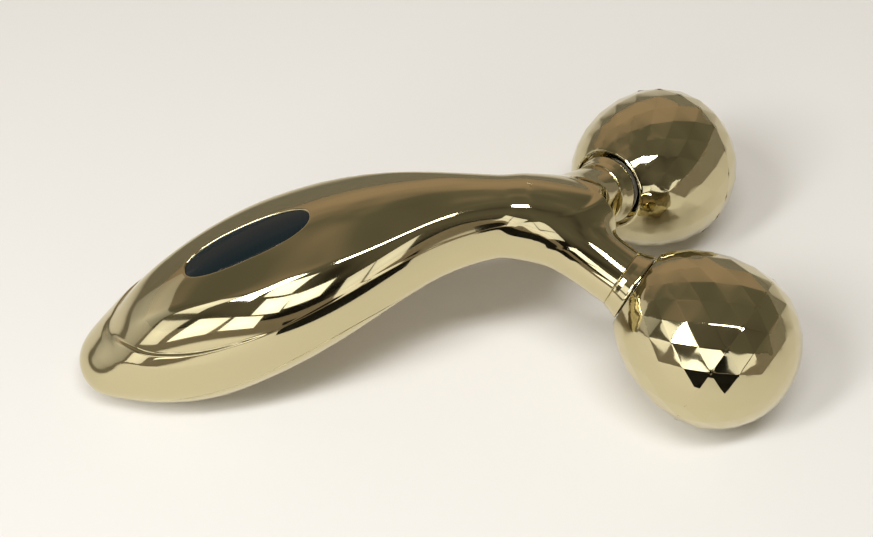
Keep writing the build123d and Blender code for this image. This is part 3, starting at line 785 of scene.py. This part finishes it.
class TONING_OT_rollers(bpy.types.Operator):
    """Make the faceted shells of both rollers"""
    bl_idname = "toning.rollers"
    bl_label = "Faceted rollers"

    def execute(self, context):
        sizes = context.scene.toning_roller
        gold = plating("rollers", 0.25)
        rim = [(RIM_RADIUS + 0.2, 0.0), (RIM_RADIUS, 0.3), (RIM_RADIUS, 2.2), (7.3, 2.2)]
        nose = [(NOSE_FLAT_RADIUS / 2, 0.0), (0.0, 0.0)]
        for name, low, high, end, rows in (("back", 0, SEAM_ROW, 0, rim),
                                           ("front", SEAM_ROW, FACET_ROWS, FACET_ROWS, nose)):
            facets = crowned_facets(facet_corners(low, high), sizes.pillow / MM)
            points, faces = ring_cap(end, rows)
            cap = points, faces if name == "front" else faces[:, ::-1]
            part = together([facets, cap] + ([seam_band()] if name == "front" else []))
            for side, shell in zip(("right", "left"), on_both_sides(part)):
                piece = new_piece(f"{side}_{name}_facets", shell, f"{side}_roller", gold)
                polish_edges(piece, sizes.edge)
                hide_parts(f"{side}_roller_{name}_shell")
        return {"FINISHED"}


def polish_edges(piece, width):
    """Rounds every edge between two facets, and keeps the facets themselves flat to the eye."""
    bevel = piece.modifiers.new("Polished edges", "BEVEL")
    bevel.width = width
    bevel.segments = 2
    bevel.limit_method = "ANGLE"
    bevel.angle_limit = np.radians(7)
    flat = piece.modifiers.new("Flat facets", "WEIGHTED_NORMAL")
    flat.weight = 60
    flat.keep_sharp = True


# ---- finishes
def add_node(tree, kind, inputs=None, **settings):
    """Adds one shader node with its settings. Inputs are values, or sockets of other nodes to link."""
    node = tree.nodes.new("ShaderNode" + kind)
    for key, value in settings.items():
        setattr(node, key, value)
    for key, value in (inputs or {}).items():
        if isinstance(value, bpy.types.NodeSocket):
            tree.links.new(value, node.inputs[key])
        else:
            node.inputs[key].default_value = value
    return node


def new_material(name, base, metallic, roughness):
    """A material with its shader's constants set on the shader itself."""
    material = bpy.data.materials.new(name)
    material.use_nodes = True
    tree = material.node_tree
    shader = tree.nodes["Principled BSDF"]
    shader.inputs["Base Color"].default_value = (*base, 1)
    shader.inputs["Metallic"].default_value = metallic
    shader.inputs["Roughness"].default_value = roughness
    place = add_node(tree, "TexCoord").outputs["Object"]
    return material, tree, shader, place


def bend_surface(tree, shader, noise, depth):
    """Lets a noise bend the surface that the light sees, by a depth in millimetres."""
    bump = add_node(tree, "Bump", {"Height": noise.outputs["Fac"], "Distance": depth * MM})
    tree.links.new(bump.outputs["Normal"], shader.inputs["Normal"])


def plating(part, waviness):
    """Vacuum plating under clear lacquer on moulded ABS: a pale gold mirror. The moulding's slow waves, 9 mm
    wide, bend its reflections a little, and handling leaves a faint haze in patches of 14 mm."""
    base = tuple(bpy.context.scene.toning_colours.gold)
    name = f"Champagne vacuum plating on moulded ABS, {part}"
    material, tree, shader, place = new_material(name, base, 1.0, 0.045)
    waves = add_node(tree, "TexNoise", {"Vector": place, "Scale": 1 / (9 * MM), "Detail": 1.0})
    haze = add_node(tree, "TexNoise", {"Vector": place, "Scale": 1 / (14 * MM), "Detail": 6.0, "Roughness": 0.65})
    rough = add_node(tree, "MapRange", {"Value": haze.outputs["Fac"], "From Min": 0.35, "From Max": 0.75,
                                        "To Min": 0.03, "To Max": 0.075})
    tree.links.new(rough.outputs["Result"], shader.inputs["Roughness"])
    bend_surface(tree, shader, waves, 0.006 * waviness)
    return material


def window_glass():
    """Glossy tinted acrylic over a silicon cell: nearly black with a blue-green cast, and the cell's fine
    contact fingers just show, one every 1.2 mm."""
    base = tuple(bpy.context.scene.toning_colours.window)
    material, tree, shader, place = new_material("Tinted acrylic over a silicon cell", base, 0.0, 0.05)
    middle, long_way, _, _ = window_frame()
    tilt = np.arctan2(long_way[2], long_way[0])
    local = add_node(tree, "Mapping", {"Vector": place, "Location": tuple(middle * MM), "Rotation": (0, -tilt, 0)},
                     vector_type="TEXTURE")
    # A wave of scale 1 repeats every 0.31416 units.
    fingers = add_node(tree, "TexWave", {"Vector": local.outputs["Vector"], "Scale": 0.31416 / (1.2 * MM)},
                       bands_direction="X", wave_profile="SIN")
    line = add_node(tree, "MapRange", {"Value": fingers.outputs["Fac"], "From Min": 0.93, "From Max": 1.0,
                                       "To Min": 0.0, "To Max": 0.05})
    mix = add_node(tree, "Mix", {"Factor": line.outputs["Result"], "A": (*base, 1), "B": (*srgb("3A4448"), 1)},
                   data_type="RGBA")
    tree.links.new(mix.outputs["Result"], shader.inputs["Base Color"])
    return material


# Each inner part's finish: what it is and how it was made, colour, metallic, roughness, grain size in
# millimetres and how deep the grain is in thousandths of a millimetre.
INNER_FINISHES = {
    "black_tape": ("Foam tape, die cut", "202020", 0.0, 0.8, 0.4, 20),
    "solar_silicon": ("Silicon cell, etched", "101A30", 0.0, 0.25, 0.2, 2),
    "board_laminate": ("Glass-fibre laminate, green resist", "14592E", 0.0, 0.45, 0.5, 6),
    "screw_steel": ("Steel, cold headed and zinc plated", "B9BBBD", 1.0, 0.3, 0.3, 3),
    "capacitor_can": ("Aluminium can, drawn", "C9CACC", 1.0, 0.35, 0.3, 3),
    "black_moulding": ("Epoxy, moulded", "161616", 0.0, 0.6, 0.2, 4),
    "wire_jacket": ("PVC wire jacket, extruded", "A61C1C", 0.0, 0.45, 0.8, 3),
    "fork_moulding": ("Glass-filled nylon, moulded", "2C2C2C", 0.0, 0.6, 0.3, 6),
    "axle_steel": ("Stainless steel, ground", "B4B3AF", 1.0, 0.22, 0.15, 2),
    "black_rubber": ("Nitrile rubber, moulded", "151515", 0.0, 0.7, 0.3, 8),
    "washer_acetal": ("Acetal, punched", "E4E2DA", 0.0, 0.5, 0.4, 3),
    "contact_brass": ("Brass, turned", "C79A4B", 1.0, 0.25, 0.15, 2),
    "core_moulding": ("Natural ABS, moulded", "D8D2C2", 0.0, 0.55, 0.5, 8),
    "bush_bronze": ("Sintered bronze", "8A5A2C", 1.0, 0.5, 0.12, 12),
}


def inner_finish(slot):
    """A finish from the table: grain from noise at its real size bends the surface and varies its gloss."""
    name, code, metallic, roughness, grain, depth = INNER_FINISHES[slot]
    material, tree, shader, place = new_material(name, srgb(code), metallic, roughness)
    noise = add_node(tree, "TexNoise", {"Vector": place, "Scale": 1 / (grain * MM), "Detail": 4.0})
    gloss = add_node(tree, "MapRange", {"Value": noise.outputs["Fac"], "To Min": roughness * 0.8,
                                        "To Max": min(1.0, roughness * 1.25)})
    tree.links.new(gloss.outputs["Result"], shader.inputs["Roughness"])
    bend_surface(tree, shader, noise, depth * 1e-3)
    return material


class TONING_OT_inner(bpy.types.Operator):
    """Give every inner part the finish of its own material"""
    bl_idname = "toning.inner"
    bl_label = "Inner parts"

    def execute(self, context):
        finishes = {slot: inner_finish(slot) for slot in INNER_FINISHES}
        for entry in frame["record"]["subparts"]:
            slot = entry["material_slot"]
            if slot in finishes:
                node = frame["nodes"][entry["node"]]
                node.data.materials.clear()
                node.data.materials.append(finishes[slot])
        return {"FINISHED"}


# ---- stage
def soft_lamp(name, azimuth, elevation, width, height, brightness, distance=1.1, spread=70.0):
    """A soft box out of the camera's sight. From the middle of the table it is seen under an azimuth from -Y
    towards +X, an elevation, a width and a height, all in degrees. Its brightness is that of its face seen
    straight on, where 1 is white: its power is that times pi times its area, times the share 1 - a / tan a
    that a grid with half spread a lets through."""
    data = bpy.data.lights.new(name, "AREA")
    data.shape = "RECTANGLE"
    data.size, data.size_y = (2 * distance * np.tan(np.radians(v) / 2) for v in (width, height))
    half = np.radians(spread) / 2
    data.spread = 2 * half
    data.energy = brightness * np.pi * data.size * data.size_y * (1 - half / np.tan(half))
    turn, rise = np.radians(azimuth), np.radians(elevation)
    way = Vector((np.sin(turn) * np.cos(rise), -np.cos(turn) * np.cos(rise), np.sin(rise)))
    lamp = bpy.data.objects.new(name, data)
    lamp.matrix_world = Matrix.Translation(way * distance) @ (-way).to_track_quat("-Z", "Y").to_matrix().to_4x4()
    bpy.context.scene.collection.objects.link(lamp)
    lamp.visible_camera = False


# Soft boxes: name, azimuth, elevation, width and height in degrees, brightness of the face, and for the strong
# ones the distance in metres and the spread of the grid.
LAMPS = (
    ("Key soft box", -56, 46, 9, 24, 22.0, 1.1, 130), ("Overhead strip box", 6, 69, 34, 8, 20.0, 1.3, 140),
    ("Low pane 1", -54, 12, 10, 13, 2.4), ("Low pane 2", -41, 13, 12, 12, 2.6),
    ("Mid pane 1", -34, 28, 14, 15, 2.8), ("Mid pane 2", -17, 29, 15, 12, 2.6), ("High pane", -38, 44, 13, 13, 2.8),
    ("Right pane 1", 6, 17, 10, 20, 1.3), ("Right pane 2", 18, 18, 11, 18, 1.3),
    ("Right pane 3", 36, 14, 15, 12, 1.2), ("Left pane 1", -72, 12, 16, 14, 1.3),
    ("Left pane 2", -72, 32, 14, 18, 1.6), ("Left pane 3", -108, 15, 48, 24, 0.6),
)
SWEEP_FLAT, SWEEP_CURVE, SWEEP_WALL = 1.4, 0.3, 0.4  # metres: radius of the table and of its bend, top of the wall
CARD_ENDS, CARD_FRONT, CARD_EDGES = (-0.09, 0.1), -0.2, (0.001, 0.05)  # metres: the black card along X, Y and Z
# The camera's place in millimetres, its directions to the right, up and back, and its lens in millimetres.
CAMERA_PLACE = (-32.7, -314.8, 348.7)
CAMERA_AXES = ((0.9891, -0.1438, -0.0298), (0.1235, 0.7053, 0.6981), (-0.0795, -0.6942, 0.7154))
CAMERA_LENS = 80.0


def room_light():
    """The world over the table: a dim room in soft patches, dark low on the side of -Y and tan on the other."""
    world = bpy.data.worlds.new("Dim studio")
    world.use_nodes = True
    tree = world.node_tree
    way = add_node(tree, "TexCoord").outputs["Generated"]
    patches = add_node(tree, "TexNoise", {"Vector": way, "Scale": 1.7, "Detail": 2.0, "Roughness": 0.45})
    slant = add_node(tree, "VectorMath", {0: way, 1: (0, 0.3, 0.12)}, operation="DOT_PRODUCT")
    shade = add_node(tree, "Math", {0: slant.outputs["Value"], 1: patches.outputs["Fac"]}, operation="ADD")
    ramp = add_node(tree, "ValToRGB", {"Fac": shade.outputs["Value"]})
    stops = ((0.2, "1C1A16"), (0.38, "5E594C"), (0.6, "706C5E"), (0.78, "A08F7D"), (0.95, "B5A08B"))
    while len(ramp.color_ramp.elements) < len(stops):
        ramp.color_ramp.elements.new(0.5)
    for element, (place, code) in zip(ramp.color_ramp.elements, stops):
        element.position = place
        element.color = (*srgb(code), 1)
    tree.links.new(ramp.outputs["Color"], tree.nodes["Background"].inputs["Color"])
    return world


class TONING_OT_stage(bpy.types.Operator):
    """Set a pale table, soft lamps, a black card that darkens the near reflections, and the camera"""
    bl_idname = "toning.stage"
    bl_label = "Stage"

    def execute(self, context):
        scene = context.scene
        turn = np.linspace(0, 2 * np.pi, 97)[None, :]
        curve = np.linspace(0, np.pi / 2, 12)
        out = np.concatenate([[0, 0.6], SWEEP_FLAT + SWEEP_CURVE * np.sin(curve), [SWEEP_FLAT + SWEEP_CURVE]])
        height = np.concatenate([[0, 0], SWEEP_CURVE * (1 - np.cos(curve)), [SWEEP_WALL]])
        bowl = np.stack(np.broadcast_arrays(out[:, None] * np.cos(turn), out[:, None] * np.sin(turn),
                                            height[:, None]), axis=-1)
        colour = tuple(scene.toning_colours.floor)
        material, tree, shader, place = new_material("Matt paper sweep", colour, 0.0, 0.7)
        tooth = add_node(tree, "TexNoise", {"Vector": place, "Scale": 1 / (0.8 * MM)})
        bend_surface(tree, shader, tooth, 0.01)
        sweep = new_object("table_sweep", *grid(bowl), material)
        sweep.data.shade_smooth()

        (left, right), front, (low, high) = CARD_ENDS, CARD_FRONT, CARD_EDGES
        corners = [(left, front, low), (right, front, low), (right, front, high), (left, front, high)]
        card = new_object("black_card", corners, [(0, 1, 2, 3)],
                          new_material("Black card", srgb("141414"), 0.0, 0.9)[0])
        card.visible_camera = card.visible_shadow = False

        for lamp in LAMPS:
            soft_lamp(*lamp)
        scene.world = room_light()
        scene.view_settings.view_transform = "Standard"

        data = bpy.data.cameras.new("Camera")
        data.sensor_width = 36.0
        data.lens = CAMERA_LENS
        data.clip_end = 20
        camera = bpy.data.objects.new("Camera", data)
        turn = Matrix(CAMERA_AXES).transposed().to_4x4()
        camera.matrix_world = Matrix.Translation(Vector(CAMERA_PLACE) * MM) @ turn
        scene.collection.objects.link(camera)
        scene.camera = camera
        return {"FINISHED"}


class TONING_PT_panel(bpy.types.Panel):
    """Lists the device's sizes, colours and steps"""
    bl_idname = "TONING_PT_panel"
    bl_label = "Toning device"
    bl_space_type = "VIEW_3D"
    bl_region_type = "UI"
    bl_category = "Toning device"

    def draw(self, context):
        for group in ("toning_handle", "toning_roller", "toning_colours"):
            values = getattr(context.scene, group)
            box = self.layout.box()
            for name in values.bl_rna.properties.keys():
                if name not in ("rna_type", "name"):
                    box.prop(values, name)
        for operator in OPERATORS:
            self.layout.operator(operator.bl_idname)


OPERATORS = (TONING_OT_body, TONING_OT_window, TONING_OT_collars, TONING_OT_rollers, TONING_OT_inner,
             TONING_OT_stage)
GROUPS = {"toning_handle": ToningHandleSizes, "toning_roller": ToningRollerSizes, "toning_colours": ToningColours}


def register():
    for cls in (*GROUPS.values(), *OPERATORS, TONING_PT_panel):
        bpy.utils.register_class(cls)
    for name, group in GROUPS.items():
        setattr(bpy.types.Scene, name, bpy.props.PointerProperty(type=group))


def unregister():
    for name in GROUPS:
        delattr(bpy.types.Scene, name)
    for cls in (TONING_PT_panel, *reversed(OPERATORS), *reversed(GROUPS.values())):
        bpy.utils.unregister_class(cls)


def main():
    """Makes every piece in order."""
    register()
    for operator in OPERATORS:
        group, name = operator.bl_idname.split(".")
        getattr(getattr(bpy.ops, group), name)()


if __name__ == "__main__":
    main()
